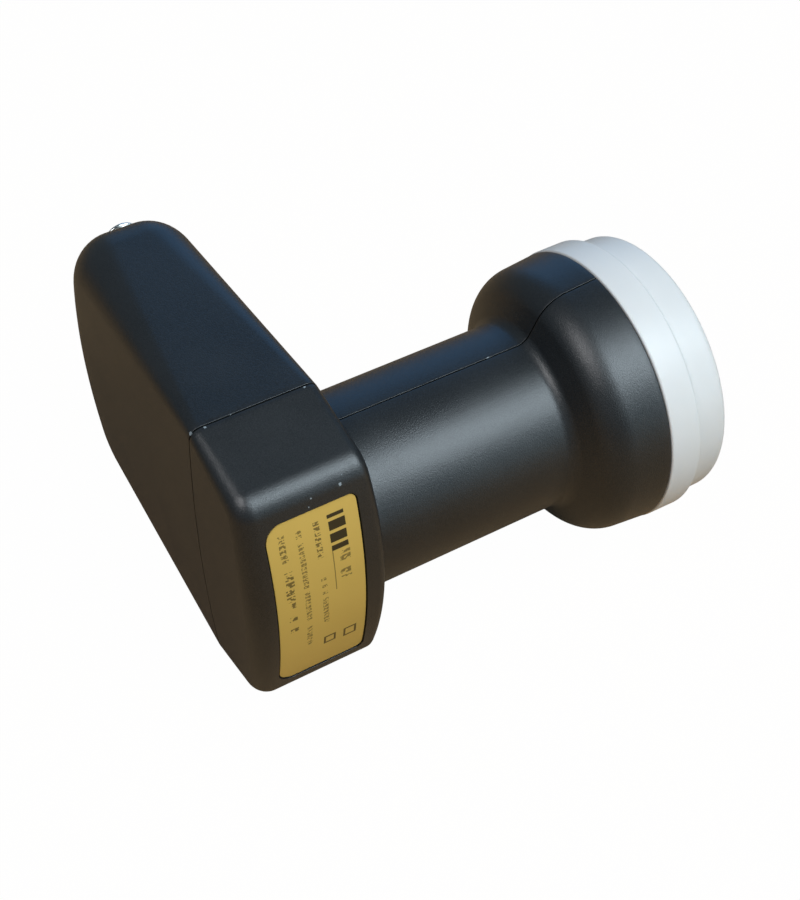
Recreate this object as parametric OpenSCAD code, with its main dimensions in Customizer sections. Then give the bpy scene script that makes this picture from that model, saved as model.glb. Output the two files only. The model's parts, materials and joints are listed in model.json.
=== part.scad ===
// Low-noise block downconverter for the 40 mm collar of a dish arm, lying on its side.
// X runs along the neck to the feed cap, Y to the output and Z across the housing.
// The origin is on the neck's axis, in the middle of the stretch that the collar grips.

/* [Housing box] */
// Width across the two side faces
box_w = 65; // [63:0.5:70]
// Depth from back to front at the side faces
box_d = 25.8; // [25:0.2:30]
// From the neck axis to the end face that carries the label
label_end = 22.9; // [22:0.1:26]
// From the neck axis to the end face with the output
output_end = 70; // [69:0.5:78]
// Thickness of the plastic
wall = 2; // [1.6:0.1:2.4]
// How far the back face bulges
back_crown = 1.2; // [0.4:0.1:2]
// How far the front face bulges
front_crown = 1.6; // [0.4:0.1:2]
// How far the back face comes forward at the output end
back_taper = 1.6; // [0:0.1:2]
// How far the front face goes back at the output end
front_taper = 1.2; // [0:0.1:1.6]
// Slant of the label half's sides
side_slant = 13.5; // [4:0.5:15]
// Radius of the bulge of the label end
label_end_r = 88; // [70:1:200]
// Radius of the bulge of the output end
output_end_r = 104; // [80:1:200]
// Corner radius at the label end
label_corner_r = 6; // [4.6:0.1:6.4]
// Corner radius at the output end
output_corner_r = 13.4; // [11:0.2:16]

/* [Housing edges] */
// Radius of the back edge at the parting line
back_edge_r = 2.2; // [2.1:0.1:4]
// Radius of the back edge at the label end
label_back_edge_r = 4.4; // [2.1:0.1:4.5]
// Radius of the back edge at the output end
output_back_edge_r = 9.6; // [4:0.1:10]
// Radius of the front edge at the parting line and the label end
front_edge_r = 2.1; // [2.1:0.1:3]
// Radius of the front edge at the output end
output_front_edge_r = 9.2; // [4:0.1:10]

/* [Neck and horn] */
// Diameter of the neck
neck_d = 40; // [40:0.5:42]
// From the origin back to the box
neck_back_l = 22.2; // [20:0.1:30]
// From the origin to the start of the horn
neck_front_l = 22; // [20:0.1:30]
// From the start of the horn to its rim
horn_l = 18.4; // [17:0.1:24]
// Radius of the horn at its rim
horn_r = 29.8; // [29.6:0.1:31]
// Slope of the flare
flare_angle = 62; // [50:1:65]
// Radius of the hollow where the neck turns into the flare
flare_root_r = 3.2; // [2:0.1:4]
// Radius of the shoulder where the flare turns into the rim
flare_shoulder_r = 8; // [6:0.1:8.5]
// Slope of the horn's last stretch
rim_slope = 5; // [2:0.5:7]

/* [Feed cap] */
// Length of the rear ring
cap_ring_l = 7.1; // [6.5:0.1:9]
// Overall length of the cap
cap_l = 15.2; // [13:0.1:18]
// How far the rear ring stands out past the horn's rim
cap_lip = 0.2; // [0:0.05:0.5]
// Height of the step down to the front ring
cap_step = 1.5; // [1.2:0.1:1.8]
// Thickness of the cap's front
cap_front_wall = 1.8; // [1.4:0.1:2.4]
// Radius of the cap's front edge
cap_edge_r = 1.7; // [1:0.1:1.8]
// Thickness of the sealing ring in the cap
seal_d = 1.7; // [1.5:0.1:1.9]

/* [Rating label] */
// Length of the foil across the housing
label_l = 46; // [36:0.5:46]
// Width of the foil from back to front
label_w = 19; // [14:0.1:19.4]
// From the back rim to the foil
label_back = 3.8; // [3.6:0.1:5]
// Corner radius of the foil on its front side
label_front_r = 1.8; // [1:0.1:3]
// Corner radius of the foil on its back side
label_back_r = 4; // [2:0.1:6]
// Depth of the recess for the foil
recess = 0.4; // [0.2:0.05:0.5]
// Thickness of the foil
foil_t = 0.15; // [0.1:0.01:0.2]

/* [Parting joint] */
// Height of the tongue across the parting line
tongue_h = 1.5; // [1:0.1:2]
// Clearance round the tongue and between loose parts
gap = 0.1; // [0.05:0.01:0.15]
// Width of a snap arm
snap_w = 6; // [4:0.5:8]
// How far a snap arm reaches past the parting line
snap_l = 5.4; // [5:0.1:7]

/* [Casting] */
// Diameter of the round waveguide
guide_d = 17.5; // [17:0.1:18]
// Wall of the waveguide tube
guide_wall = 2.25; // [1.8:0.05:2.6]
// Wall of the casting's tray
tray_wall = 2.2; // [1.8:0.1:2.6]
// Thickness of the tray's floor
floor_t = 2.6; // [2.4:0.1:3]
// Depth of the tray from its floor to its rim
tray_depth = 12; // [11:0.1:12.2]
// Thickness of the cover plate
cover_t = 2.5; // [2:0.1:3]
// Space between tray and housing at the sides
tray_side_gap = 6.5; // [6:0.1:8]
// Space between tray and housing at the front
tray_front_gap = 0.8; // [0.6:0.1:1.2]
// Radius of the cover screws' thread
cover_screw_r = 1.25; // [1:0.05:1.5]

/* [Circuit board] */
// Thickness of the board
board_t = 0.6; // [0.5:0.1:1]
// Radius of the ceramic resonators
puck_r = 3; // [2.5:0.1:3.4]
// Height of the ceramic resonators
puck_h = 2.2; // [1.8:0.1:2.6]
// Side of the mixer chip
chip_l = 4; // [3:0.5:5]
// Length of the voltage regulator's body
regulator_l = 4.5; // [4:0.1:5]
// Length of the small capacitors
capacitor_l = 2; // [1.6:0.1:2.4]
// Length of the block capacitors
block_l = 3.4; // [3:0.1:3.8]
// Radius of the supply choke
choke_r = 2.2; // [1.8:0.1:2.4]

/* [Output] */
// From the housing's side to the output connector
output_inset = 18; // [17:0.5:20.5]
// Diameter of the connector's thread
thread_d = 9.52; // [9.4:0.01:9.6]
// Length of the thread that stands clear of the housing
thread_l = 7.6; // [7:0.1:10]
// Diameter of the connector's flange and of its seal
flange_d = 10.8; // [10.4:0.1:11]
// Thickness of the flange
flange_t = 2.4; // [2:0.1:2.6]
// Length of the seal between flange and housing
output_seal_l = 5; // [4.6:0.1:5.2]
// Diameter of the centre contact
contact_d = 1; // [0.8:0.1:1.2]

/* [Hidden] */

half_w = box_w / 2;
back_x = -neck_back_l - box_d;
front_x = -neck_back_l;
neck_r = neck_d / 2;
flare_x = neck_front_l;
rim_x = neck_front_l + horn_l;
mid_y = (output_end - label_end) / 2;
fine = 96;
big = 400;

// The casting inside the box, laid out from the housing's inner faces
floor_front_x = front_x - wall - front_taper - tray_front_gap;
floor_back_x = floor_front_x - floor_t;
rim_back_x = floor_back_x - tray_depth;
cover_back_x = rim_back_x - cover_t;
tray_half_w = half_w - tray_side_gap;
tray_label_gap = 2.9;
tray_output_gap = 10;
tray_label_y = wall + tray_label_gap - label_end;
tray_output_y = output_end - wall - tray_output_gap;
tray_corner_r = 6;
guide_r = guide_d / 2;
tube_r = guide_r + guide_wall;
board_back_x = floor_back_x - board_t;
screw_inset = 4.6;
screw_boss_r = 3;
screw_l = 6;
screw_ys = [tray_label_y + screw_inset, (tray_label_y + tray_output_y) / 2, tray_output_y - screw_inset];
rib_t = 1.6;
rib_z = 14;

// The horn casting and the cap that closes it
spigot_l = 3;
spigot_groove_l = 1.6;
spigot_r = horn_r - 0.8;
spigot_groove_r = horn_r - 1.2;
cup_r = horn_r - wall - 0.6;
cup_wall = 2.4;
cup_end_x = rim_x + cap_ring_l - 1;
cup_floor_x = rim_x - 4;
ring_inner_r = 17;
ring_wall = 1.4;
seal_groove_l = seal_d + gap;
seal_groove_x = cup_end_x - 1.1 - seal_groove_l;
seal_groove_r = cup_r - 0.53 * seal_d;
cap_r = horn_r + cap_lip;
cap_front_r = cap_r - cap_step;
cap_front_bore_r = cap_front_r - cap_front_wall;
cap_seal_bore_r = seal_groove_r + seal_d;
seal_wire_r = seal_d / 2 - gap / 10;

// What stands on the board, laid out from the cover screws and the waveguide
board_edge_z = tray_half_w - screw_inset - screw_boss_r;
regulator_w = regulator_l * 0.9;
regulator_y = screw_ys[0] + screw_boss_r + regulator_l / 2 + gap;
regulator_z = board_edge_z - 1.2 - regulator_w / 2;
supply_y = (screw_ys[0] + screw_ys[1]) / 2;
capacitor_pitch = capacitor_l * 2.5;
block_pitch = block_l * 1.5;
amplifier_y = tray_output_y * 0.84;

// The output connector, which sits on the casting's end wall
output_offset = half_w - output_inset;
contact_x = board_back_x - contact_d / 2;
thread_r = thread_d / 2;
thread_start_y = output_end - 0.2;
thread_end_y = thread_start_y + thread_l;
shank_r = thread_r - 0.2;
flange_r = flange_d / 2;
output_hole_r = shank_r + 0.4;
collar_r = flange_r + 1.2;
seat_y = tray_output_y + flange_t + output_seal_l;

// Points of an arc, with both ends
function arc(c, r, a0, a1, n) =
    [for (i = [0 : n]) let (a = a0 + (a1 - a0) * i / n) [c[0] + r * cos(a), c[1] + r * sin(a)]];

// Outline of the box from the output end's middle round one side to the label end's middle.
// Each entry is [y, z, normal y, normal z].
function arc_entries(c, r, a0, a1, n, first, last) =
    [for (i = [first : n - last])
        let (a = a0 + (a1 - a0) * i / n)
        [c[0] + r * cos(a), c[1] + r * sin(a), cos(a), sin(a)]];

output_mid = [output_end - output_end_r, 0];
output_corner_z = half_w - output_corner_r;
output_corner = [output_mid[0] + sqrt(pow(output_end_r - output_corner_r, 2) - pow(output_corner_z, 2)),
                 output_corner_z];
output_angle = asin(output_corner_z / (output_end_r - output_corner_r));
label_mid = [label_end_r - label_end, 0];
slant_normal = [-sin(side_slant), cos(side_slant)];
slant_run = [-cos(side_slant), -sin(side_slant)];
slant_base = [0, half_w] - slant_normal * label_corner_r - label_mid;
slant_b = slant_base * slant_run;
slant_t = -slant_b + sqrt(slant_b * slant_b - slant_base * slant_base
                          + pow(label_end_r - label_corner_r, 2));
label_corner = slant_base + slant_run * slant_t + label_mid;
label_angle = 180 - asin(label_corner[1] / (label_end_r - label_corner_r));

side_outline = concat(
    arc_entries(output_mid, output_end_r, 0, output_angle, 3, 0, 1),
    arc_entries(output_corner, output_corner_r, output_angle, 90, 6, 0, 0),
    [for (i = [1 : 3]) [output_corner[0] * (1 - i / 4), half_w, 0, 1]],
    [[0, half_w, -tan(side_slant / 2), 1]],
    arc_entries(label_corner, label_corner_r, 90 + side_slant, label_angle, 4, 0, 0),
    arc_entries(label_mid, label_end_r, label_angle, 180, 3, 1, 0));
side_n = len(side_outline);
outline = concat(side_outline,
    [for (i = [side_n - 2 : -1 : 1])
        let (e = side_outline[i])
        [e[0], -e[1], e[2], -e[3]]]);
outline_n = len(outline);

// Radii of the back and front edges, which grow away from the parting line
function edge_r(y, seam_r, output_r, label_r) =
    y > 0 ? seam_r + (output_r - seam_r) * min(1, y / output_end)
          : seam_r + (label_r - seam_r) * min(1, -y / label_end);

// The bulged and tapered back and front faces
function back_face(y, z) =
    back_x + back_taper * max(0, y) / output_end - back_crown * (1 - pow(z / half_w, 2));
function front_face(y, z) =
    front_x - front_taper * max(0, y) / output_end + front_crown * (1 - pow(z / half_w, 2));

function inset_point(e, d) = [e[0] - e[2] * d, e[1] - e[3] * d];

// One ring of the box's skin at an angle round its back or front edge, t under the outer surface
function back_ring(t, a) =
    [for (e = outline)
        let (r = max(0.1, edge_r(e[0], back_edge_r, output_back_edge_r, label_back_edge_r) - t),
             p = inset_point(e, t + r * (1 - sin(a))))
        [back_face(p[0], p[1]) + t + r * (1 - cos(a)), p[0], p[1]]];
function front_ring(t, a) =
    [for (e = outline)
        let (r = max(0.1, edge_r(e[0], front_edge_r, output_front_edge_r, front_edge_r) - t),
             p = inset_point(e, t + r * (1 - sin(a))))
        [front_face(p[0], p[1]) - t - r * (1 - cos(a)), p[0], p[1]]];

// Rings of the faces inside their edges, drawn in towards the middle of the box
function back_inner(t, k) =
    [for (p = back_ring(t, 0))
        let (y = mid_y + (p[1] - mid_y) * k, z = p[2] * k)
        [back_face(y, z) + t, y, z]];
function front_inner(t, k) =
    [for (p = front_ring(t, 0))
        let (y = mid_y + (p[1] - mid_y) * k, z = p[2] * k)
        [front_face(y, z) - t, y, z]];

// The box as a closed skin, t under the outer surface
module box_form(t) {
    step = t > 0 ? 30 : 18;
    rings = concat([for (k = [0.35, 0.7]) back_inner(t, k)],
                   [for (a = [0 : step : 90]) back_ring(t, a)],
                   [for (a = [90 : -step : 0]) front_ring(t, a)],
                   [for (k = [0.7, 0.35]) front_inner(t, k)]);
    ring_n = len(rings);
    points = concat([for (r = rings) for (p = r) p],
                    [[back_face(mid_y, 0) + t, mid_y, 0], [front_face(mid_y, 0) - t, mid_y, 0]]);
    back_tip = ring_n * outline_n;
    faces = concat(
        [for (j = [0 : ring_n - 2]) for (i = [0 : outline_n - 1])
            let (n = (i + 1) % outline_n)
            [j * outline_n + i, (j + 1) * outline_n + n, j * outline_n + n]],
        [for (j = [0 : ring_n - 2]) for (i = [0 : outline_n - 1])
            let (n = (i + 1) % outline_n)
            [j * outline_n + i, (j + 1) * outline_n + i, (j + 1) * outline_n + n]],
        [for (i = [0 : outline_n - 1]) [back_tip, i, (i + 1) % outline_n]],
        [for (i = [0 : outline_n - 1])
            let (base = (ring_n - 1) * outline_n)
            [back_tip + 1, base + (i + 1) % outline_n, base + i]]);
    polyhedron(points, faces);
}

// A body turned round the neck's axis from points of [x, radius]
module turned(points) {
    rotate([0, 90, 0])
        rotate_extrude($fn = fine)
            polygon([for (p = points) [p[1], p[0]]]);
}

module turned_ring(x0, x1, r0, r1) {
    turned([[x0, r0], [x1, r0], [x1, r1], [x0, r1]]);
}

// Profile of neck and horn from the box to the rim, t under the outer surface
root_end = [flare_x + flare_root_r * sin(flare_angle), neck_r + flare_root_r * (1 - cos(flare_angle))];
flare_run = [cos(flare_angle), sin(flare_angle)];
rim_run = [cos(rim_slope), sin(rim_slope)];
function cross2(a, b) = a[0] * b[1] - a[1] * b[0];
shoulder_a = root_end + [flare_run[1], -flare_run[0]] * flare_shoulder_r;
shoulder_b = [rim_x, horn_r] + [rim_run[1], -rim_run[0]] * flare_shoulder_r;
shoulder_c = shoulder_a
    + flare_run * (cross2(shoulder_b - shoulder_a, rim_run) / cross2(flare_run, rim_run));

function horn_profile(t, x0, x1) = concat(
    [[x0, neck_r - t]],
    arc([flare_x, neck_r + flare_root_r], flare_root_r + t, -90, flare_angle - 90, 5),
    arc(shoulder_c, flare_shoulder_r - t, 90 + flare_angle, 90 + rim_slope, 8),
    [[x1, horn_r - t + (x1 - rim_x) * tan(rim_slope)]]);

// Box, neck and horn together as one solid, t under the outer surface
module housing_form(t, x1) {
    box_form(t);
    turned(concat([[front_x - box_d / 2, 0]], horn_profile(t, front_x - box_d / 2, x1), [[x1, 0]]));
}

module output_side(y0) {
    translate([-big / 2, y0, -big / 2])
        cube([big, big, big]);
}

module label_side(y1) {
    translate([-big / 2, y1 - big, -big / 2])
        cube([big, big, big]);
}

// The rim's spigot, which the cap's skirt snaps over and so holds the halves together
module spigot() {
    turned([[rim_x - 2, horn_r - wall - 0.2], [rim_x - 2, spigot_groove_r],
            [rim_x + spigot_groove_l, spigot_groove_r], [rim_x + spigot_groove_l, spigot_r],
            [rim_x + spigot_l - 0.4, spigot_r], [rim_x + spigot_l, spigot_r - 0.4],
            [rim_x + spigot_l, horn_r - wall - 0.2]]);
}

module housing_bore() {
    housing_form(wall, rim_x + 1);
    turned_ring(rim_x - 1, rim_x + spigot_l + 1, 0, horn_r - wall);
}

// Rings in the neck that centre the waveguide tube
module neck_rings() {
    for (x = [-0.45, 0.2, 0.85])
        turned_ring(x * neck_back_l, x * neck_back_l + 1.6, tube_r + gap, neck_r - wall + 0.6);
}

// A rib from a seat on the tray out to a side wall, on both sides of the box
module side_rib(y) {
    l = tray_side_gap - wall + 0.4;
    for (s = [0, 1])
        mirror([0, 0, s])
            translate([rim_back_x, y - rib_t / 2, tray_half_w])
                cube([tray_depth, rib_t, l]);
}

// A pad on the front wall that the tray's floor rests on, on both sides of the neck
module front_pad(y, w) {
    for (s = [-1, 1])
        translate([floor_front_x, y - 3, s * (tray_half_w - 3) - w / 2])
            cube([front_x - wall / 2 - floor_front_x, 6, w]);
}

// A rib on the back wall that bears on the cover plate
module back_rib(y) {
    x0 = back_x + wall - back_crown + 0.2;
    for (s = [-1, 1])
        translate([x0, y - 4, s * rib_z - rib_t / 2])
            cube([cover_back_x - x0, 8, rib_t]);
}

module housing_output_half() {
    color("#1c1c1e")
        difference() {
            union() {
                difference() {
                    union() {
                        intersection() {
                            housing_form(0, rim_x);
                            output_side(0);
                        }
                        intersection() {
                            spigot();
                            output_side(0);
                        }
                    }
                    housing_bore();
                }
                intersection() {
                    neck_rings();
                    output_side(0);
                }
                for (y = [0.2, 0.5, 0.8])
                    side_rib(y * tray_output_y);
                for (y = [0.4, 0.8])
                    front_pad(y * tray_output_y, 4);
                for (y = [0.25, 0.7])
                    back_rib(y * tray_output_y);
                translate([rim_back_x, tray_output_y, -rib_t / 2])
                    cube([tray_depth, tray_output_gap + 0.8, rib_t]);
                output_place(tray_output_y + flange_t)
                    cylinder(h = thread_start_y - tray_output_y - flange_t, r = collar_r, $fn = fine);
            }
            intersection() {
                housing_form(wall / 2, rim_x + spigot_l + 1);
                label_side(tongue_h + gap);
            }
            snap_arms(gap * 2);
            output_place(tray_output_y + 1)
                cylinder(h = 20, r = output_hole_r, $fn = fine);
            output_place(tray_output_y + 1)
                cylinder(h = seat_y - tray_output_y - 1, r = flange_r + gap, $fn = fine);
        }
}

module housing_label_half() {
    color("#1c1c1e")
        difference() {
            union() {
                difference() {
                    union() {
                        intersection() {
                            housing_form(0, rim_x);
                            label_side(0);
                        }
                        intersection() {
                            spigot();
                            label_side(0);
                        }
                        intersection() {
                            housing_form(wall / 2 + gap, rim_x - gap);
                            label_side(tongue_h);
                            output_side(-2);
                        }
                    }
                    housing_bore();
                }
                intersection() {
                    neck_rings();
                    label_side(0);
                }
                side_rib(tray_label_y * 0.3);
                back_rib(tray_label_y * 0.5);
                for (s = [-1, 1])
                    translate([rim_back_x, tray_label_y - tray_label_gap - 0.8, s * rib_z - rib_t / 2])
                        cube([tray_depth, tray_label_gap + 0.8, rib_t]);
                snap_arms(0);
            }
            label_pocket(0, recess);
        }
}

// Arms that reach across the parting line, with a nib that snaps into a pocket in the wall
module snap_arms(c) {
    root = 3.6;
    arm_t = 1.4;
    x0 = (back_x + front_x) / 2 - snap_w / 2;
    inner_z = half_w - wall;
    for (s = [0, 1])
        mirror([0, 0, s]) {
            translate([x0 - c, -root, inner_z - 0.3 - arm_t - c])
                cube([snap_w + 2 * c, root + snap_l + c, arm_t + 2 * c]);
            translate([x0 - c, snap_l - 2 - c, inner_z - 0.4])
                cube([snap_w + 2 * c, 2 + 2 * c, 1.2 + c]);
            translate([x0, -root, inner_z - 1])
                cube([snap_w, root - 0.6, 1.3]);
        }
}

// The space of the foil, d0 to d1 under the bulged end face and c smaller all round
module label_pocket(d0, d1, c = 0) {
    x0 = back_x + label_back + c;
    x1 = back_x + label_back + label_w - c;
    z1 = label_l / 2 - c;
    rb = label_back_r - c;
    rf = label_front_r - c;
    difference() {
        intersection() {
            translate([0, -label_end - 3, 0])
                rotate([-90, 0, 0])
                    linear_extrude(10)
                        union() {
                            translate([x0 + rb, -z1])
                                square([x1 - rf - x0 - rb, 2 * z1]);
                            translate([x0, -z1 + rb])
                                square([rb + 1, 2 * (z1 - rb)]);
                            translate([x1 - rf - 1, -z1 + rf])
                                square([rf + 1, 2 * (z1 - rf)]);
                            for (s = [-1, 1]) {
                                translate([x0 + rb, s * (z1 - rb)])
                                    circle(rb, $fn = fine);
                                translate([x1 - rf, s * (z1 - rf)])
                                    circle(rf, $fn = fine);
                            }
                        }
            translate([x0 - 1, 0, 0])
                label_bulge(-d0 + (d0 > 0 ? 0 : 1), x1 - x0 + 2);
        }
        translate([x0 - 2, 0, 0])
            label_bulge(-d1, x1 - x0 + 4);
    }
}

// The round surface that the label end follows, g outside the end face
module label_bulge(g, l) {
    translate([0, label_mid[0], 0])
        rotate([0, 90, 0])
            cylinder(h = l, r = label_end_r + g, $fn = 360);
}

module rating_label() {
    color("#c9aa63")
        label_pocket(recess - foil_t, recess, gap);
}

module feed_cap() {
    skirt_r = spigot_r + gap;
    bead_r = spigot_groove_r + gap;
    bead_x0 = rim_x + 0.4;
    bead_x1 = rim_x + spigot_groove_l - gap;
    skirt_x1 = rim_x + spigot_l + gap;
    end_x = rim_x + cap_l;
    step_x = rim_x + cap_ring_l;
    inner_r = cap_edge_r;
    color("#e9edf0")
        turned(concat(
            [[rim_x, skirt_r], [rim_x, cap_r - 0.3], [rim_x + 0.3, cap_r]],
            arc([step_x - 0.7, cap_r - 0.7], 0.7, 90, 0, 4),
            [[step_x, cap_front_r]],
            arc([end_x - cap_edge_r, cap_front_r - cap_edge_r], cap_edge_r, 90, 0, 6),
            [[end_x, 0], [end_x - cap_front_wall, 0], [end_x - cap_front_wall, cap_front_bore_r - inner_r],
             [end_x - cap_front_wall - inner_r, cap_front_bore_r], [cup_end_x, cap_front_bore_r],
             [cup_end_x, cap_seal_bore_r], [skirt_x1, cap_seal_bore_r], [skirt_x1, skirt_r],
             [bead_x1, skirt_r], [bead_x1, bead_r], [bead_x0, bead_r], [bead_x0, skirt_r]]));
}

module cap_seal() {
    color("#2a2a2a")
        rotate([0, 90, 0])
            translate([0, 0, seal_groove_x + seal_groove_l / 2])
                rotate_extrude($fn = fine)
                    translate([seal_groove_r + seal_wire_r + gap / 10, 0])
                        circle(seal_wire_r, $fn = 32);
}

// A rounded rectangle across the box, between two places along X
module tray_block(x0, x1, inset) {
    r = tray_corner_r - inset;
    translate([x0, 0, 0])
        rotate([90, 0, 90])
            linear_extrude(x1 - x0)
                tray_outline(inset, r);
}

module tray_outline(inset, r) {
    y0 = tray_label_y + inset;
    y1 = tray_output_y - inset;
    z1 = tray_half_w - inset;
    translate([y0 + r, -z1])
        square([y1 - y0 - 2 * r, 2 * z1]);
    translate([y0, -z1 + r])
        square([y1 - y0, 2 * (z1 - r)]);
    for (y = [y0 + r, y1 - r])
        for (z = [-z1 + r, z1 - r])
            translate([y, z])
                circle(r, $fn = fine);
}

// Runs its children at each cover screw, with +Z of the child along the row's +X
module screw_places(x) {
    for (y = screw_ys)
        for (s = [-1, 1])
            translate([x, y, s * (tray_half_w - screw_inset)])
                rotate([0, 90, 0])
                    children();
}

// Runs its children at the output, with +Z of the child along the row's +Y
module output_place(y) {
    translate([contact_x, y, output_offset])
        rotate([-90, 0, 0])
            children();
}

module casting() {
    color("#a9acae")
        difference() {
            union() {
                difference() {
                    tray_block(rim_back_x, floor_front_x, 0);
                    tray_block(rim_back_x - 1, floor_back_x, tray_wall);
                }
                screw_places(rim_back_x)
                    cylinder(h = tray_depth + 1, r = screw_boss_r, $fn = fine);
                turned([[floor_front_x - 1, 0], [floor_front_x - 1, tube_r],
                        [cup_floor_x - 9, tube_r], [cup_floor_x - 6, tube_r + 3],
                        [cup_floor_x - 4.2, cup_r - 3], [cup_floor_x - 2, cup_r - 0.8],
                        [cup_floor_x + 0.6, cup_r], [seal_groove_x, cup_r],
                        [seal_groove_x, seal_groove_r], [seal_groove_x + seal_groove_l, seal_groove_r],
                        [seal_groove_x + seal_groove_l, cup_r], [cup_end_x, cup_r],
                        [cup_end_x, cup_r - cup_wall], [cup_floor_x, cup_r - cup_wall],
                        [cup_floor_x, ring_inner_r + ring_wall], [cup_end_x - 2, ring_inner_r + ring_wall],
                        [cup_end_x - 2, ring_inner_r], [cup_floor_x, ring_inner_r],
                        [cup_floor_x, tube_r], [cup_end_x - 3, guide_r + 0.8], [cup_end_x - 3, 0]]);
            }
            turned_ring(rim_back_x, cup_end_x, 0, guide_r);
            screw_places(rim_back_x - 1)
                cylinder(h = 9, r = cover_screw_r, $fn = fine);
            output_place(tray_output_y - tray_wall - 1)
                cylinder(h = tray_wall + 2, r = shank_r - 0.8, $fn = fine);
        }
}

module cover_plate() {
    fence_y = tray_output_y * 0.42;
    color("#b4b7b9")
        difference() {
            union() {
                tray_block(cover_back_x, rim_back_x, 0);
                turned_ring(rim_back_x - 1, board_back_x, guide_r, guide_r + 1.8);
                translate([rim_back_x - 1, fence_y, -tray_half_w + tray_wall + gap])
                    cube([board_back_x - rim_back_x + 1, 1.6, 2 * (tray_half_w - tray_wall - gap)]);
            }
            screw_places(cover_back_x - 1)
                cylinder(h = cover_t + 2, r = cover_screw_r + 0.25, $fn = fine);
            puck_places(cover_back_x - 1)
                cylinder(h = cover_t + 2, r = tuning_r + gap / 2, $fn = fine);
        }
}

module cover_screws() {
    color("#c8c9c6")
        screw_places(cover_back_x) {
            cylinder(h = cover_t + screw_l, r = cover_screw_r, $fn = fine);
            translate([0, 0, -1.4])
                cylinder(h = 1.4, r = 2.3, $fn = fine);
        }
}

// Runs its children over each resonator, with +Z of the child along the row's +X
tuning_r = 1.5;
puck_y = tray_output_y * 0.62;
puck_z = 9.5;
module puck_place(s, x) {
    translate([x, puck_y, s * puck_z])
        rotate([0, 90, 0])
            children();
}

module puck_places(x) {
    for (s = [1, -1])
        puck_place(s, x)
            children();
}

module puck(s, scale_r) {
    color("#c7b79a")
        puck_place(s, board_back_x - puck_h)
            cylinder(h = puck_h, r = puck_r * scale_r, $fn = fine);
}

module low_band_resonator() {
    puck(1, 1);
}

module high_band_resonator() {
    puck(-1, 0.9);
}

module tuning_screw(s) {
    color("#c9a648")
        puck_place(s, cover_back_x - 1.6)
            difference() {
                union() {
                    cylinder(h = cover_t + 5, r = tuning_r, $fn = fine);
                    cylinder(h = 1.6, r = tuning_r + 0.9, $fn = 6);
                }
                translate([-2, -0.25, -1])
                    cube([4, 0.5, 1.8]);
            }
}

module low_band_tuning_screw() {
    tuning_screw(1);
}

module high_band_tuning_screw() {
    tuning_screw(-1);
}

module absorber_pad() {
    color("#3b3b3f")
        difference() {
            translate([rim_back_x, tray_output_y * 0.42 + 1.6, -tray_half_w + 7])
                cube([1.5, tray_output_y * 0.4, 2 * tray_half_w - 14]);
            puck_places(rim_back_x - 1)
                cylinder(h = 4, r = tuning_r + 0.6, $fn = fine);
        }
}

module circuit_board() {
    color("#2f6b45")
        difference() {
            tray_block(board_back_x, floor_back_x, tray_wall + 0.3);
            screw_places(board_back_x - 1)
                cylinder(h = board_t + 2, r = screw_boss_r + 0.3, $fn = fine);
        }
}

// A chip lying on the board, centred on [y, z]
module chip(y, z, l, w, h) {
    translate([board_back_x - h, y - l / 2, z - w / 2])
        cube([h, l, w]);
}

module amplifier_transistors() {
    side = chip_l / 2;
    color("#1d1d20")
        for (s = [-1, 1])
            for (k = [1.1, 2.1])
                chip(guide_r + k * chip_l, s * chip_l, side, side, side * 0.45);
}

module mixer_chip() {
    color("#1d1d20")
        chip(puck_y, 0, chip_l, chip_l, chip_l * 0.22);
}

module output_amplifier() {
    color("#1d1d20")
        chip(amplifier_y, chip_l, chip_l * 1.25, chip_l * 1.25, chip_l * 0.3);
}

module voltage_regulator() {
    color("#232327") {
        chip(regulator_y, regulator_z, regulator_l, regulator_w, regulator_l / 3);
        chip(regulator_y - regulator_l * 0.7, regulator_z, regulator_l * 0.4, regulator_w * 0.7, regulator_l / 8);
    }
}

module board_capacitors() {
    color("#b98d4a") {
        for (k = [-1, 0, 1])
            chip(supply_y + k * capacitor_pitch, board_edge_z, capacitor_l, capacitor_l * 0.6, capacitor_l * 0.45);
        for (k = [-0.5, 0.5])
            chip(supply_y + k * block_pitch, -board_edge_z, block_l, block_l * 0.8, block_l * 0.55);
        for (k = [0.5, 1.5])
            chip(amplifier_y, -k * chip_l, capacitor_l, capacitor_l * 0.6, capacitor_l * 0.45);
    }
}

module supply_choke() {
    color("#74543a")
        translate([board_back_x - choke_r, tray_output_y * 0.78, board_edge_z])
            rotate([-90, 0, 0])
                difference() {
                    cylinder(h = choke_r * 1.8, r = choke_r, center = true, $fn = fine);
                    cylinder(h = choke_r * 3, r = choke_r * 0.55, center = true, $fn = fine);
                }
}

module output_connector() {
    color("#c3c4c2")
        output_place(0)
            difference() {
                union() {
                    translate([0, 0, tray_output_y - tray_wall])
                        cylinder(h = tray_wall + 1, r = shank_r - 0.8 - gap / 5, $fn = fine);
                    translate([0, 0, tray_output_y])
                        cylinder(h = flange_t, r = flange_r, $fn = fine);
                    translate([0, 0, tray_output_y])
                        cylinder(h = thread_start_y - tray_output_y + 0.5, r = shank_r, $fn = fine);
                    translate([0, 0, thread_start_y])
                        cylinder(h = thread_l, r = thread_r, $fn = fine);
                }
                translate([0, 0, tray_output_y - tray_wall - 1])
                    cylinder(h = thread_end_y, r = insulator_r, $fn = fine);
            }
}

insulator_r = 2.9;
module output_insulator() {
    y0 = tray_output_y - tray_wall;
    color("#eceae4")
        output_place(y0)
            difference() {
                cylinder(h = thread_end_y - 0.6 - y0, r = insulator_r - gap / 5, $fn = fine);
                translate([0, 0, -1])
                    cylinder(h = thread_end_y - y0 + 2, r = contact_d / 2 + gap / 5, $fn = fine);
            }
}

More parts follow.
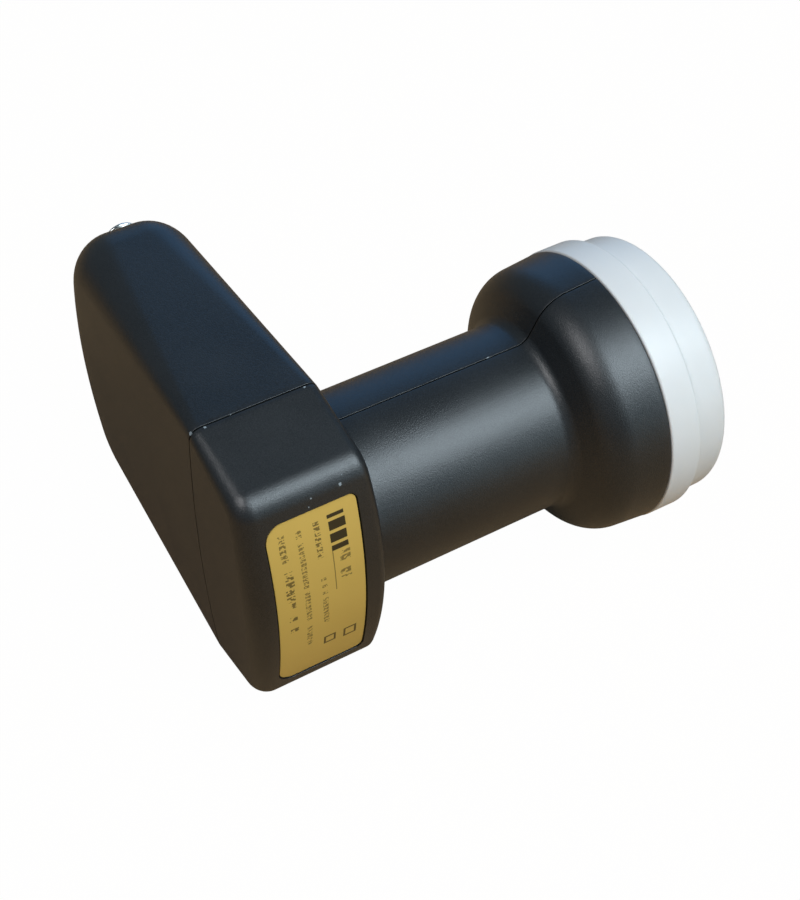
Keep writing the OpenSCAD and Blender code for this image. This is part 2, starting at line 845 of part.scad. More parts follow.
module output_contact() {
    y0 = tray_output_y - tray_wall - 4;
    color("#c79b46")
        output_place(y0)
            cylinder(h = thread_end_y - 2.2 - y0, r = contact_d / 2, $fn = fine);
}

module output_seal() {
    y0 = tray_output_y + flange_t;
    color("#2a2a2a")
        output_place(y0)
            difference() {
                cylinder(h = seat_y - y0, r = flange_r, $fn = fine);
                translate([0, 0, -1])
                    cylinder(h = seat_y - y0 + 2, r = shank_r + gap, $fn = fine);
            }
}

housing_output_half();
housing_label_half();
feed_cap();
rating_label();
cap_seal();
casting();
cover_plate();
cover_screws();
absorber_pad();
circuit_board();
low_band_resonator();
high_band_resonator();
low_band_tuning_screw();
high_band_tuning_screw();
amplifier_transistors();
mixer_chip();
output_amplifier();
voltage_regulator();
board_capacitors();
supply_choke();
output_connector();
output_insulator();
output_contact();
output_seal();
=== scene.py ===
"""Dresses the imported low-noise block downconverter: moulded shells, feed cap, foil label and output.

Lengths are in millimetres, in the frame of the CAD, until a mesh is made. X runs along the neck to the
feed cap, Y to the output end and Z across the housing. The housing's halves part in the plane Y = 0.
"""
import json
import math

import bmesh
import bpy
import numpy as np
from mathutils import Matrix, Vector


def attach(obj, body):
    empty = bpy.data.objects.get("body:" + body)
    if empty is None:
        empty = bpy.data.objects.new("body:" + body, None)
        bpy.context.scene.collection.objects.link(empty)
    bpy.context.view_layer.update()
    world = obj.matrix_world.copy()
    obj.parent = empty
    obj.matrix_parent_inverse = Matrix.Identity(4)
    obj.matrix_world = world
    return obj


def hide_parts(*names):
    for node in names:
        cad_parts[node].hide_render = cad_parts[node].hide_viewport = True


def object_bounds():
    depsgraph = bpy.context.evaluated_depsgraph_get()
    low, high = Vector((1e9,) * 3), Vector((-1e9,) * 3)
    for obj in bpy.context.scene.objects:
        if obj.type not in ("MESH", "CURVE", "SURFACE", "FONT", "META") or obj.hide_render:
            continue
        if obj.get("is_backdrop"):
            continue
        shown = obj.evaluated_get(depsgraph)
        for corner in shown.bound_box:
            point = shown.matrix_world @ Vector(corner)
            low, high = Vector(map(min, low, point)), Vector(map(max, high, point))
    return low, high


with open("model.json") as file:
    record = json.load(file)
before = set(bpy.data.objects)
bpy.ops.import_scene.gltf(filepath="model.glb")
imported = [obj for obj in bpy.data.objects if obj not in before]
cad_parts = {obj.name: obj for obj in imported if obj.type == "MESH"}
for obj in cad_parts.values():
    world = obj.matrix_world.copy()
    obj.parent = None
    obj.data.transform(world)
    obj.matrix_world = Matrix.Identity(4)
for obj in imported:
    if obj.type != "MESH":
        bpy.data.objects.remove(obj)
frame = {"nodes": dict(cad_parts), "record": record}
cad_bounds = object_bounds()
MM = 0.001

# Housing box, as in the CAD
HALF_W = 32.5
BACK_X, FRONT_X = -48.0, -22.2
BACK_CROWN, FRONT_CROWN = 1.2, 1.6
BACK_TAPER, FRONT_TAPER = 1.6, 1.2
LABEL_END, OUTPUT_END = 22.9, 70.0
SLANT = math.radians(13.5)
LABEL_END_R, OUTPUT_END_R = 88.0, 104.0
LABEL_CORNER_R, OUTPUT_CORNER_R = 6.0, 13.4
SEAM_BACK_R, SEAM_FRONT_R = 2.2, 2.1
LABEL_BACK_R, OUTPUT_BACK_R, OUTPUT_FRONT_R = 4.4, 9.6, 9.2
LEAST_EDGE_R = 0.1
WALL = 2.0

# Neck, horn, the rim with its small round edge, and the spigot under the cap
NECK_R, FLARE_X, RIM_X, HORN_R = 20.0, 22.0, 40.4, 29.8
FLARE, RIM_SLOPE = math.radians(62), math.radians(5)
ROOT_R, SHOULDER_R = 3.2, 8.0
NECK_FILLET = 0.5
RIM_EDGE_R, RIM_DROP = 0.35, 0.03
SPIGOT_R, SPIGOT_L, SPIGOT_BEVEL = 29.0, 3.0, 0.4

# Feed cap: outer radii, bores from the skirt inwards, and places along the neck's axis
CAP_X0 = RIM_X + 0.1
CAP_RING_X, CAP_STEP_X = RIM_X + 7.1, RIM_X + 7.25
CAP_EDGE_X, CAP_FACE_X, CAP_INSIDE_X = RIM_X + 15.0, RIM_X + 15.2, RIM_X + 13.4
CAP_REAR_R, CAP_RING_R, CAP_STEP_R, CAP_EDGE_R, CAP_FACE_R = 29.95, 30.0, 28.5, 28.42, 20
SKIRT_BORE_R, MIDDLE_BORE_R, FRONT_BORE_R = 29.1, 28.1, 26.7
SKIRT_BORE_X, MIDDLE_BORE_X = 43.4, 47
CAP_SEGMENTS = 192

# Parting joint: half its open width and the radius of each lip
SLIT, LIP = 0.15, 0.09

# Tongue in the joint: its depth under the skin, and the rows at the horn's end that it leaves out
TONGUE_DEPTH, TONGUE_FROM_WALL, TONGUE_END_ROWS = 0.75, 0.2, 9

# Label recess in the end face, as in the CAD, and how far the foil keeps from its wall above and below
FOIL_X0, FOIL_X1, FOIL_Z = -44.2, -25.2, 23.0
FOIL_BACK_R, FOIL_FRONT_R = 4.0, 1.8
RECESS, FOIL_T = 0.4, 0.15
TOP_INSET, LOW_INSET, FOIL_LIFT = 0.28, 0.25, 0.01

# Recess in the mesh: run of its wall, distance from the corner's arc, where columns get finer, and the
# distances of the rows by its wall
RECESS_RUN, CORNER_MARGIN, FINE_Z = 0.12, 2, 18.4
ROW_OUTSIDE, ROW_AT_FOOT, ROW_NEXT, ROW_BEYOND = 0.02, 0.13, 0.3, 0.4
ROW_GAP = 0.004

# Output connector: flange, seat, boss and hole of the housing, thread, bore and its mouth
OUTPUT_X, OUTPUT_Z = -29.9, 14.5
FLANGE_Y0, FLANGE_Y1, SEAT_Y = 58.0, 60.4, 65.4
FLANGE_R, BOSS_R, HOLE_R = 5.4, 6.6, 4.96
THREAD_R, THREAD_ROOT_R, PITCH = 4.76, 4.3, 0.794
THREAD_Y0, THREAD_Y1 = 69.8, 77.4
THREAD_START = THREAD_Y0 - 1.4
FLANK_SLOPE, ROOT_FLAT = 2.6, 0.15
FADE_GAP, FADE_RUN = 0.25, 0.5
BORE_R, MOUTH_LOW_R, MOUTH_R, MOUTH_L = 2.9, 2.95, 3.25, 0.3
OUTPUT_SEGMENTS = 96

# Numbers of rows along the shells, from the middle of the back face to the rim
BACK_ROWS, EDGE_ROWS, SIDE_ROWS, FRONT_ROWS, FILLET_ROWS, NECK_ROWS = 12, 14, 8, 10, 6, 16
ROOT_ROWS, SHOULDER_ROWS, FLAT_ROWS, RIM_ROWS = 14, 26, 6, 4

# Distances in metres within which points of a mesh are merged and faces count as empty
MERGE, EMPTY = 5e-7, 1e-7


def steps(a, b, n):
    """n + 1 evenly spaced values from a to b."""
    return np.linspace(a, b, n + 1)


def heading(angle):
    """Unit vector at an angle, or a row of them for a row of angles."""
    return np.stack([np.cos(angle), np.sin(angle)], -1)


def back_face(y, z):
    """Bulged back face: a parabola across Z that comes forward in a straight line to the output end."""
    return BACK_X + BACK_TAPER * np.maximum(0, y) / OUTPUT_END - BACK_CROWN * (1 - (z / HALF_W) ** 2)


def front_face(y, z):
    """Bulged front face: a parabola across Z that goes back in a straight line to the output end."""
    return FRONT_X - FRONT_TAPER * np.maximum(0, y) / OUTPUT_END + FRONT_CROWN * (1 - (z / HALF_W) ** 2)


# Centres and end angles of the outline's arcs in the Y-Z plane
out_mid = OUTPUT_END - OUTPUT_END_R
out_cz = HALF_W - OUTPUT_CORNER_R
out_cy = out_mid + math.sqrt((OUTPUT_END_R - OUTPUT_CORNER_R) ** 2 - out_cz ** 2)
out_angle = math.asin(out_cz / (OUTPUT_END_R - OUTPUT_CORNER_R))
lab_mid = LABEL_END_R - LABEL_END
lab_n = np.array([-math.sin(SLANT), math.cos(SLANT)])
lab_run = np.array([-math.cos(SLANT), -math.sin(SLANT)])
lab_base = np.array([0, HALF_W]) - lab_n * LABEL_CORNER_R - np.array([lab_mid, 0])
lab_b = lab_base @ lab_run
lab_t = -lab_b + math.sqrt(lab_b ** 2 - lab_base @ lab_base + (LABEL_END_R - LABEL_CORNER_R) ** 2)
lab_cy, lab_cz = lab_base + lab_run * lab_t + np.array([lab_mid, 0])
lab_angle = math.pi - math.asin(lab_cz / (LABEL_END_R - LABEL_CORNER_R))
lab_side_y = lab_cy + lab_n[0] * LABEL_CORNER_R
lab_arc_z = LABEL_END_R * math.sin(lab_angle)

# Columns from the parting plane at +Z to the middle of the end, for the output half (1) and label half (-1)
SIDE = {1: steps(0, 1, 26) ** 1.15, -1: steps(0, 1, 16)}
CORNER = {1: steps(math.pi / 2, out_angle, 26)[1:], -1: steps(math.pi / 2 + SLANT, lab_angle, 22)[1:]}
column_z = np.concatenate([steps(lab_arc_z, FINE_Z, 40)[1:], steps(FINE_Z, 0, 14)[1:]])
END = {1: steps(out_angle, 0, 20)[1:], -1: math.pi - np.arcsin(column_z / LABEL_END_R)}
END_CENTRE = {1: (out_mid, OUTPUT_END_R), -1: (lab_mid, LABEL_END_R)}
CORNER_CENTRE = {1: (out_cy, out_cz, OUTPUT_CORNER_R), -1: (lab_cy, lab_cz, LABEL_CORNER_R)}

# Radius of the back (False) and front (True) edge at each half's end
END_EDGE_R = {(1, False): OUTPUT_BACK_R, (1, True): OUTPUT_FRONT_R,
              (-1, False): LABEL_BACK_R, (-1, True): SEAM_FRONT_R}


def whole(y, z):
    """Adds the mirror image across Z to a line of points that ends in the middle plane."""
    return np.concatenate([y, y[-2::-1]]), np.concatenate([z, -z[-2::-1]])


def outline(half, d, g):
    """Y and Z of a half's outline, moved in by d.

    A straight side from the plane Y = g, upright or slanted, then the corner's arc and the end's arc.
    """
    s = SIDE[half]
    n1, n2 = len(s), len(s) + len(CORNER[half])
    cy, cz, cr = CORNER_CENTRE[half]
    my, mr = END_CENTRE[half]
    if half > 0:
        y0 = (1 - s) * g + s * cy
        z0 = HALF_W - d[:n1]
    else:
        base = (1 - s) * (-g - math.sin(SLANT) * d[:n1]) + s * lab_side_y
        y0 = base + math.sin(SLANT) * d[:n1]
        z0 = HALF_W + math.tan(SLANT) * base - math.cos(SLANT) * d[:n1]
    y1 = cy + (cr - d[n1:n2]) * np.cos(CORNER[half])
    z1 = cz + (cr - d[n1:n2]) * np.sin(CORNER[half])
    y2 = my + (mr - d[n2:]) * np.cos(END[half])
    z2 = (mr - d[n2:]) * np.sin(END[half])
    return np.concatenate([y0, y1, y2]), np.concatenate([z0, z1, z2])


def columns(half):
    """Number of points of a half's outline, from the parting plane to the middle of the end."""
    return len(SIDE[half]) + len(CORNER[half]) + len(END[half])


def edge_ring(half, t, g, a, front):
    """One ring of a quarter round on the back or front edge, at angle a.

    The round's radius grows in a straight line from the parting plane to the end.
    """
    base = outline(half, np.zeros(columns(half)), g)[0]
    near = SEAM_FRONT_R if front else SEAM_BACK_R
    share = np.minimum(1, np.abs(base) / (OUTPUT_END if half > 0 else LABEL_END))
    r = np.maximum(LEAST_EDGE_R, near + (END_EDGE_R[half, front] - near) * share - t)
    y, z = outline(half, t + r * (1 - math.sin(a)), g)
    rise = t + r * (1 - math.cos(a))
    x = front_face(y, z) - rise if front else back_face(y, z) + rise
    y, z = whole(y, z)
    return np.stack([np.concatenate([x, x[-2::-1]]), y, z], -1)


def circle_row(half, x, r, g):
    """Half circle of radius r round the neck's axis, from the plane Y = g at +Z to the same plane at -Z."""
    n = columns(half)
    a = math.acos(g / r) * steps(1, -1, 2 * n - 2)
    return np.stack([np.broadcast_to(x, a.shape), half * r * np.cos(a), r * np.sin(a)], -1)


def rounded_box_distance(x, z):
    """Signed distance to the label's outline, a rectangle whose back and front corners differ."""
    mid = (FOIL_X0 + FOIL_X1) / 2
    r = np.where(x < mid, FOIL_BACK_R, FOIL_FRONT_R)
    dx = np.abs(x - mid) - (FOIL_X1 - FOIL_X0) / 2 + r
    dz = np.abs(z) - FOIL_Z + r
    return np.minimum(np.maximum(dx, dz), 0) + np.hypot(np.maximum(dx, 0), np.maximum(dz, 0)) - r


def side_rows(half, back, front):
    """Rows of the side wall between the two edges, even on the output half.

    On the label half they stand at set X, close together at the recess's wall and in its corners, and are
    kept in order between the two edges.
    """
    if half > 0:
        w = steps(0, 1, SIDE_ROWS)[1:-1, None, None]
        return list(back + w * (front - back))
    marks = np.concatenate([
        [FOIL_X0 - ROW_OUTSIDE, FOIL_X0 + ROW_AT_FOOT],
        steps(FOIL_X0 + ROW_NEXT, FOIL_X0 + FOIL_BACK_R, 26),
        steps(-39, -28, 6),
        steps(FOIL_X1 - 2, FOIL_X1 - ROW_NEXT, 12),
        [FOIL_X1 - ROW_AT_FOOT, FOIL_X1 + ROW_OUTSIDE, FOIL_X1 + ROW_BEYOND]])
    rows = []
    for k, x in enumerate(marks):
        row = back.copy()
        row[:, 0] = np.clip(x, back[:, 0] + ROW_GAP * (k + 1), front[:, 0] - ROW_GAP * (len(marks) - k))
        rows.append(row)
    return rows


def shell_surface(half, t, g):
    """Grid of one half's skin, t inside the outer one, from the plane Y = g to the same plane.

    The back face spreads in straight lines from its middle to the edge, the two edges are quarter rounds
    with the side wall between them, the front face narrows in straight lines to the neck's foot, and a
    quarter round, the straight neck and the turned horn follow. The outer skin of the label half goes in
    by the recess's depth inside the label's outline.
    """
    back0, front0 = edge_ring(half, t, g, 0, False), edge_ring(half, t, g, 0, True)
    rows = []
    pole = np.array([half * g, 0])
    for w in steps(0, 1, BACK_ROWS)[:-1]:
        p = pole + w * (back0[:, 1:] - pole)
        rows.append(np.column_stack([back_face(p[:, 0], p[:, 1]) + t, p]))
    quarter = steps(0, math.pi / 2, EDGE_ROWS)
    rows += [edge_ring(half, t, g, a, False) for a in quarter]
    wall = side_rows(half, rows[-1], edge_ring(half, t, g, math.pi / 2, True))
    if half < 0 and t == 0:
        for row in wall:
            depth = np.clip(-rounded_box_distance(row[:, 0], row[:, 2]) / RECESS_RUN, 0, 1)
            on_end = row[:, 1] < lab_cy - CORNER_MARGIN
            row[:, 1] += RECESS * depth * on_end
    rows += wall
    rows += [edge_ring(half, t, g, a, True) for a in quarter[::-1]]
    foot = circle_row(half, 0, NECK_R + NECK_FILLET, g)
    for w in steps(0, 1, FRONT_ROWS)[1:]:
        p = front0[:, 1:] + w * (foot[:, 1:] - front0[:, 1:])
        rows.append(np.column_stack([front_face(p[:, 0], p[:, 1]) - t, p]))
    for a in steps(0, math.pi / 2, FILLET_ROWS)[1:]:
        r = NECK_R - t + (NECK_FILLET + t) * (1 - math.sin(a))
        row = circle_row(half, 0, r, g)
        row[:, 0] = front_face(foot[:, 1], foot[:, 2]) - t + (NECK_FILLET + t) * (1 - math.cos(a))
        rows.append(row)
    last = rows[-1]
    for w in steps(0, 1, NECK_ROWS)[1:-1]:
        row = last.copy()
        row[:, 0] += w * (FLARE_X - last[:, 0])
        rows.append(row)
    rows += [circle_row(half, x, r, g) for x, r in horn_profile(t)]
    return np.array(rows)


def quarter_right(v):
    """A direction turned a quarter to the right."""
    return np.array([v[1], -v[0]])


def horn_profile(t):
    """X and radius from the neck's end to the spigot, t inside the outer skin.

    A hollow arc and a round arc are joined by a straight flare that touches both, and a short straight rim
    follows. The outer skin then turns over a small round edge on to the spigot.
    """
    run, rim = heading(FLARE), heading(RIM_SLOPE)
    root_c = np.array([FLARE_X, NECK_R + ROOT_R])
    root = root_c + (ROOT_R + t) * heading(steps(-math.pi / 2, FLARE - math.pi / 2, ROOT_ROWS))
    foot = root_c + ROOT_R * quarter_right(run) + SHOULDER_R * quarter_right(run)
    top = np.array([RIM_X, HORN_R]) + SHOULDER_R * quarter_right(rim)
    gap = top - foot
    along = (gap[0] * rim[1] - gap[1] * rim[0]) / (run[0] * rim[1] - run[1] * rim[0])
    centre = foot + run * along
    a = steps(math.pi / 2 + FLARE, math.pi / 2 + RIM_SLOPE, SHOULDER_ROWS)
    shoulder = centre + (SHOULDER_R - t) * heading(a)
    rim_x = RIM_X - RIM_EDGE_R
    rim_end = np.array([rim_x, HORN_R - t - RIM_DROP])
    flat = shoulder[-1] + steps(0, 1, FLAT_ROWS)[1:-1, None] * (rim_end - shoulder[-1])
    bevel_x, end_x = RIM_X + SPIGOT_L - SPIGOT_BEVEL, RIM_X + SPIGOT_L
    if t == 0:
        edge_c = np.array([rim_x, HORN_R - RIM_DROP - RIM_EDGE_R])
        edge = edge_c + RIM_EDGE_R * heading(steps(math.pi / 2, 0, RIM_ROWS))
        end = np.array([[RIM_X, SPIGOT_R], [bevel_x, SPIGOT_R], [end_x, SPIGOT_R - SPIGOT_BEVEL]])
    else:
        edge = np.stack([steps(rim_x, RIM_X, RIM_ROWS), np.full(RIM_ROWS + 1, HORN_R - t)], -1)
        end = np.array([[CAP_X0, HORN_R - t], [bevel_x, HORN_R - t], [end_x, HORN_R - t]])
    return np.concatenate([root, shoulder, flat, edge, end])


def inward(curve, side):
    """Unit normals of a seam line within the parting plane, pointing into the plastic."""
    tangent = np.gradient(curve[:, [0, 2]], axis=0)
    tangent /= np.linalg.norm(tangent, axis=1)[:, None] + 1e-12
    return side * np.stack([tangent[:, 1], np.zeros(len(curve)), -tangent[:, 0]], -1)


def seam_strip(half, outer, inner, col, side):
    """Lip along the parting plane, a quarter round, and the joint's flat face down to the inner skin."""
    curve = outer[:, col]
    into = inward(curve, side)
    parts = [curve]
    for a in steps(0, math.pi / 2, 4)[1:]:
        p = curve + into * LIP * (1 - math.cos(a))
        p[:, 1] = half * (SLIT + LIP * (1 - math.sin(a)))
        parts.append(p)
    return np.stack(parts + [inner[:, col]], 1)


def cells(rows, cols):
    """Corner numbers of the cells of a grid."""
    a = np.arange(rows * cols).reshape(rows, cols)
    return np.stack([a[:-1, :-1], a[:-1, 1:], a[1:, 1:], a[1:, :-1]], -1).reshape(-1, 4)


def grid_mesh(name, grids, close):
    """Mesh from grids of points with doubles merged and faces outwards; close also closes its holes."""
    points, faces, n = [], [], 0
    for grid in grids:
        rows, cols = grid.shape[:2]
        points.append(grid.reshape(-1, 3))
        faces.append(cells(rows, cols) + n)
        n += rows * cols
    mesh = bpy.data.meshes.new(name)
    mesh.from_pydata((np.concatenate(points) * MM).tolist(), [], np.concatenate(faces).tolist())
    bm = bmesh.new()
    bm.from_mesh(mesh)
    bmesh.ops.remove_doubles(bm, verts=bm.verts, dist=MERGE)
    if close:
        bmesh.ops.dissolve_degenerate(bm, edges=bm.edges, dist=EMPTY)
        bmesh.ops.holes_fill(bm, edges=[e for e in bm.edges if e.is_boundary], sides=0)
    bmesh.ops.recalc_face_normals(bm, faces=bm.faces)
    bm.to_mesh(mesh)
    bm.free()
    return mesh


def new_object(name, data):
    """Object in the scene, at the origin."""
    obj = bpy.data.objects.new(name, data)
    bpy.context.scene.collection.objects.link(obj)
    return obj


def make_piece(name, grids, slot, replaced=(), sharp=40, works=()):
    """One closed piece from grids of points, joined with or cut by the works, with its slot's finish."""
    obj = new_object(name, grid_mesh(name, grids, True))
    for operation, grid in works:
        combine(obj, operation, grid)
    mesh = obj.data
    mesh.polygons.foreach_set("use_smooth", np.ones(len(mesh.polygons), bool))
    mesh.set_sharp_from_angle(angle=math.radians(sharp))
    mesh.materials.clear()
    mesh.materials.append(FINISHES[slot])
    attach(obj, "root")
    if replaced:
        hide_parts(*replaced)


def combine(obj, operation, grid):
    """Joins a turned body to a piece or cuts it out, exactly, and deletes the body."""
    tool = new_object("tool", grid_mesh("tool", [grid], False))
    work = obj.modifiers.new("work", "BOOLEAN")
    work.operation, work.solver, work.object = operation, "EXACT", tool
    bpy.context.view_layer.update()
    cut = bpy.data.meshes.new_from_object(obj.evaluated_get(bpy.context.evaluated_depsgraph_get()))
    obj.modifiers.clear()
    obj.data = cut
    bpy.data.objects.remove(tool)


def turned(profile, n, axis="x", at=(0, 0)):
    """Surface of revolution from points of [distance along the axis, radius], in n steps.

    The axis is X, or a line along Y through the X and Z given by at.
    """
    a = steps(0, 2 * math.pi, n)
    a[-1] = 0
    p = np.asarray(profile, float)
    c, s = p[:, 1:] * np.cos(a), p[:, 1:] * np.sin(a)
    along = np.broadcast_to(p[:, :1], c.shape)
    return np.stack([along, c, s] if axis == "x" else [at[0] + c, along, at[1] + s], -1)


def rounded(points, radii, n=5):
    """Profile with each corner replaced by an arc of its radius, tangent to both its sides."""
    out = []
    for i, (p, r) in enumerate(zip(points, radii)):
        if r == 0 or i in (0, len(points) - 1):
            out.append(p)
            continue
        p, a, b = (np.array(q, float) for q in (p, points[i - 1], points[i + 1]))
        u, v = (a - p) / np.linalg.norm(a - p), (b - p) / np.linalg.norm(b - p)
        half = math.acos(np.clip(u @ v, -1, 1)) / 2
        centre = p + (u + v) / np.linalg.norm(u + v) * r / math.sin(half)
        p0, p1 = p + u * r / math.tan(half) - centre, p + v * r / math.tan(half) - centre
        a0 = math.atan2(p0[1], p0[0])
        turn = (math.atan2(p1[1], p1[0]) - a0 + math.pi) % (2 * math.pi) - math.pi
        out += list(centre + r * heading(a0 + turn * steps(0, 1, n)))
    return np.array(out)


# Materials


class Nodes:
    """A short way to add nodes and links to one node tree."""

    def __init__(self, tree):
        self.tree = tree
        self.links = tree.links

    def add(self, kind, values=None, **settings):
        """Node with its settings; a value is linked if it is a socket, and otherwise set."""
        node = self.tree.nodes.new(kind)
        for key, value in settings.items():
            setattr(node, key, value)
        for key, value in (values or {}).items():
            if isinstance(value, bpy.types.NodeSocket):
                self.links.new(value, node.inputs[key])
            else:
                node.inputs[key].default_value = value
        return node

    def math(self, operation, a, b=0.0, c=0.0):
        """Output of a math node."""
        return self.add("ShaderNodeMath", {0: a, 1: b, 2: c}, operation=operation).outputs[0]

    def product(self, first, *others):
        """All the values multiplied, in their order."""
        for value in others:
            first = self.math("MULTIPLY", first, value)
        return first

    def ramp(self, value, low, high, to_low=0.0, to_high=1.0):
        """Straight change from to_low at low to to_high at high, flat outside."""
        values = {0: value, 1: low, 2: high, 3: to_low, 4: to_high}
        return self.add("ShaderNodeMapRange", values).outputs[0]

    def mix(self, factor, a, b):
        """Colour a at factor 0 to colour b at factor 1, each a socket or three numbers."""
        a, b = (c if isinstance(c, bpy.types.NodeSocket) else (*c, 1) for c in (a, b))
        return self.add("ShaderNodeMix", {0: factor, 6: a, 7: b}, data_type="RGBA").outputs[2]

    def noise(self, where, scale, detail):
        """Value of a noise texture."""
        values = {"Vector": where, "Scale": scale, "Detail": detail}
        return self.add("ShaderNodeTexNoise", values).outputs[0]

    def place(self):
        """Place on the object, in metres."""
        return self.add("ShaderNodeTexCoord").outputs["Object"]

    def distance(self, a, b):
        """Distance between two places."""
        return self.add("ShaderNodeVectorMath", {0: a, 1: b}, operation="DISTANCE").outputs["Value"]


def new_group(name, inputs, outputs):
    """Node group with float inputs and their defaults, and outputs of the given kinds."""
    tree = bpy.data.node_groups.new(name, "ShaderNodeTree")
    for key, value in inputs.items():
        socket = tree.interface.new_socket(key, in_out="INPUT", socket_type="NodeSocketFloat")
        socket.default_value = value
    for key, kind in outputs.items():
        tree.interface.new_socket(key, in_out="OUTPUT", socket_type="NodeSocket" + kind)
    return tree, Nodes(tree), tree.nodes.new("NodeGroupInput"), tree.nodes.new("NodeGroupOutput")


def moulded_grain():
    """Fine spark-eroded grain of a moulding.

    A fine noise gives the bump, a slow noise the tone, and both the uneven gloss. Mottle adds the fine
    noise to the tone.
    """
    tree, n, gin, gout = new_group(
        "moulded_grain",
        {"Grain scale": 2600.0, "Grain height": 0.02, "Gloss scale": 60.0,
         "Roughness": 0.42, "Roughness spread": 0.05, "Mottle": 0.0},
        {"Roughness": "Float", "Tone": "Float", "Normal": "Vector"})
    i = gin.outputs
    slow_share = 2.0
    where = n.place()
    fine = n.noise(where, i["Grain scale"], 3)
    slow = n.noise(where, i["Gloss scale"], 4)
    fine_change, slow_change = n.math("SUBTRACT", fine, 0.5), n.math("SUBTRACT", slow, 0.5)
    slow_spread = n.math("MULTIPLY", slow_change, i["Roughness spread"])
    rough = n.math("ADD", n.math("MULTIPLY_ADD", slow_spread, slow_share, i["Roughness"]),
                   n.math("MULTIPLY", fine_change, i["Roughness spread"]))
    height = n.math("MULTIPLY", fine, i["Grain height"])
    bump = n.add("ShaderNodeBump", {"Height": height, "Strength": 1.0, "Distance": MM})
    tree.links.new(rough, gout.inputs["Roughness"])
    tree.links.new(n.math("MULTIPLY_ADD", fine_change, i["Mottle"], slow), gout.inputs["Tone"])
    tree.links.new(bump.outputs["Normal"], gout.inputs["Normal"])
    return tree


def dust_specks():
    """Dust: small round specks in a few cells of a Voronoi pattern, and thin scuffs near the Y direction."""
    tree, n, gin, gout = new_group(
        "dust_specks",
        {"Scale": 150.0, "Share": 0.12, "Size": 0.05, "Scuffs": 0.5},
        {"Specks": "Float", "Scuffs": "Float"})
    i = gin.outputs
    least_size = 0.4
    where = n.place()
    pattern = n.add("ShaderNodeTexVoronoi", {"Vector": where, "Scale": i["Scale"]}).outputs
    pick = n.add("ShaderNodeSeparateColor", {"Color": pattern["Color"]}).outputs
    chosen = n.math("LESS_THAN", pick["Red"], i["Share"])
    size = n.math("MULTIPLY", n.math("ADD", pick["Green"], least_size), i["Size"])
    spot = n.math("LESS_THAN", pattern["Distance"], size)
    stretched = n.add("ShaderNodeMapping", {"Vector": where, "Scale": (900.0, 45.0, 130.0),
                                            "Rotation": (0.5, 0.0, 0.0)})
    lines = n.noise(stretched.outputs[0], 1.0, 1)
    patches = n.noise(where, 30.0, 2)
    scuff = n.math("MULTIPLY", n.ramp(lines, 0.74, 0.80), n.ramp(patches, 0.52, 0.62))
    tree.links.new(n.math("MULTIPLY", chosen, spot), gout.inputs["Specks"])
    tree.links.new(n.math("MULTIPLY", scuff, i["Scuffs"]), gout.inputs["Scuffs"])
    return tree


GRAIN, DUST = moulded_grain(), dust_specks()


def new_material(name, **sockets):
    """Material with a Principled shader whose plain sockets are set by name."""
    material = bpy.data.materials.new(name)
    material.use_nodes = True
    n = Nodes(material.node_tree)
    shader = material.node_tree.nodes["Principled BSDF"]
    for key, value in sockets.items():
        shader.inputs[key.replace("_", " ")].default_value = value
    return material, n, shader


def use_group(n, tree, **values):
    """A group in a material, with its inputs set by name."""
    node = n.add("ShaderNodeGroup")
    node.node_tree = tree
    for key, value in values.items():
        node.inputs[key.replace("_", " ")].default_value = value
    return node


def finish(n, shader, grain, colour):
    """Links a colour, and the roughness and bump of a grain, to a shader."""
    n.links.new(colour, shader.inputs["Base Color"])
    n.links.new(grain.outputs["Roughness"], shader.inputs["Roughness"])
    n.links.new(grain.outputs["Normal"], shader.inputs["Normal"])


def plain_material(name, colour, roughness, metallic=0.0, grain=2600.0, height=0.02, spread=0.05,
                   shade=0.12):
    """A finish of one colour with its own grain and gloss, a little lighter and darker in patches."""
    material, n, shader = new_material(name, Metallic=metallic)
    g = use_group(n, GRAIN, Grain_scale=grain, Grain_height=height, Roughness=roughness,
                  Roughness_spread=spread)
    low, high = [c * (1 - shade) for c in colour], [min(1, c * (1 + shade)) for c in colour]
    finish(n, shader, g, n.mix(g.outputs["Tone"], low, high))
    return material


# White flecks in the parting joint and dust near the label half's end, as [X, Y, Z, radius]
FLECKS = [(-47.6, 0.2, 31.6, 0.34), (-45.0, -0.4, 32.4, 0.22), (-24.9, -0.3, 32.4, 0.26),
          (15.4, 0.1, 20.0, 0.26), (-39.6, 0.2, 32.4, 0.12), (22.4, 0.1, 20.6, 0.12),
          (-28.0, -19.1, 25.6, 0.28), (-34.0, -19.2, 25.2, 0.15), (-34.7, -19.6, 23.8, 0.17),
          (-27.2, -18.2, 26.8, 0.12)]


def recess_mask(n, where):
    """1 in the label's recess: within its outline's box and deeper than the round surface of the end."""
    under_skin, beside_box, end_y = 0.05, 0.2, -15
    xyz = n.add("ShaderNodeSeparateXYZ", {0: where}).outputs
    flat = n.add("ShaderNodeCombineXYZ", {1: xyz["Y"], 2: xyz["Z"]}).outputs[0]
    around = n.distance(flat, (0, lab_mid * MM, 0))
    across = n.math("ABSOLUTE", n.math("SUBTRACT", xyz["X"], (FOIL_X0 + FOIL_X1) / 2 * MM))
    return n.product(
        n.math("LESS_THAN", around, (LABEL_END_R - under_skin) * MM),
        n.math("LESS_THAN", across, ((FOIL_X1 - FOIL_X0) / 2 + beside_box) * MM),
        n.math("LESS_THAN", n.math("ABSOLUTE", xyz["Z"]), (FOIL_Z + beside_box) * MM),
        n.math("LESS_THAN", xyz["Y"], end_y * MM))


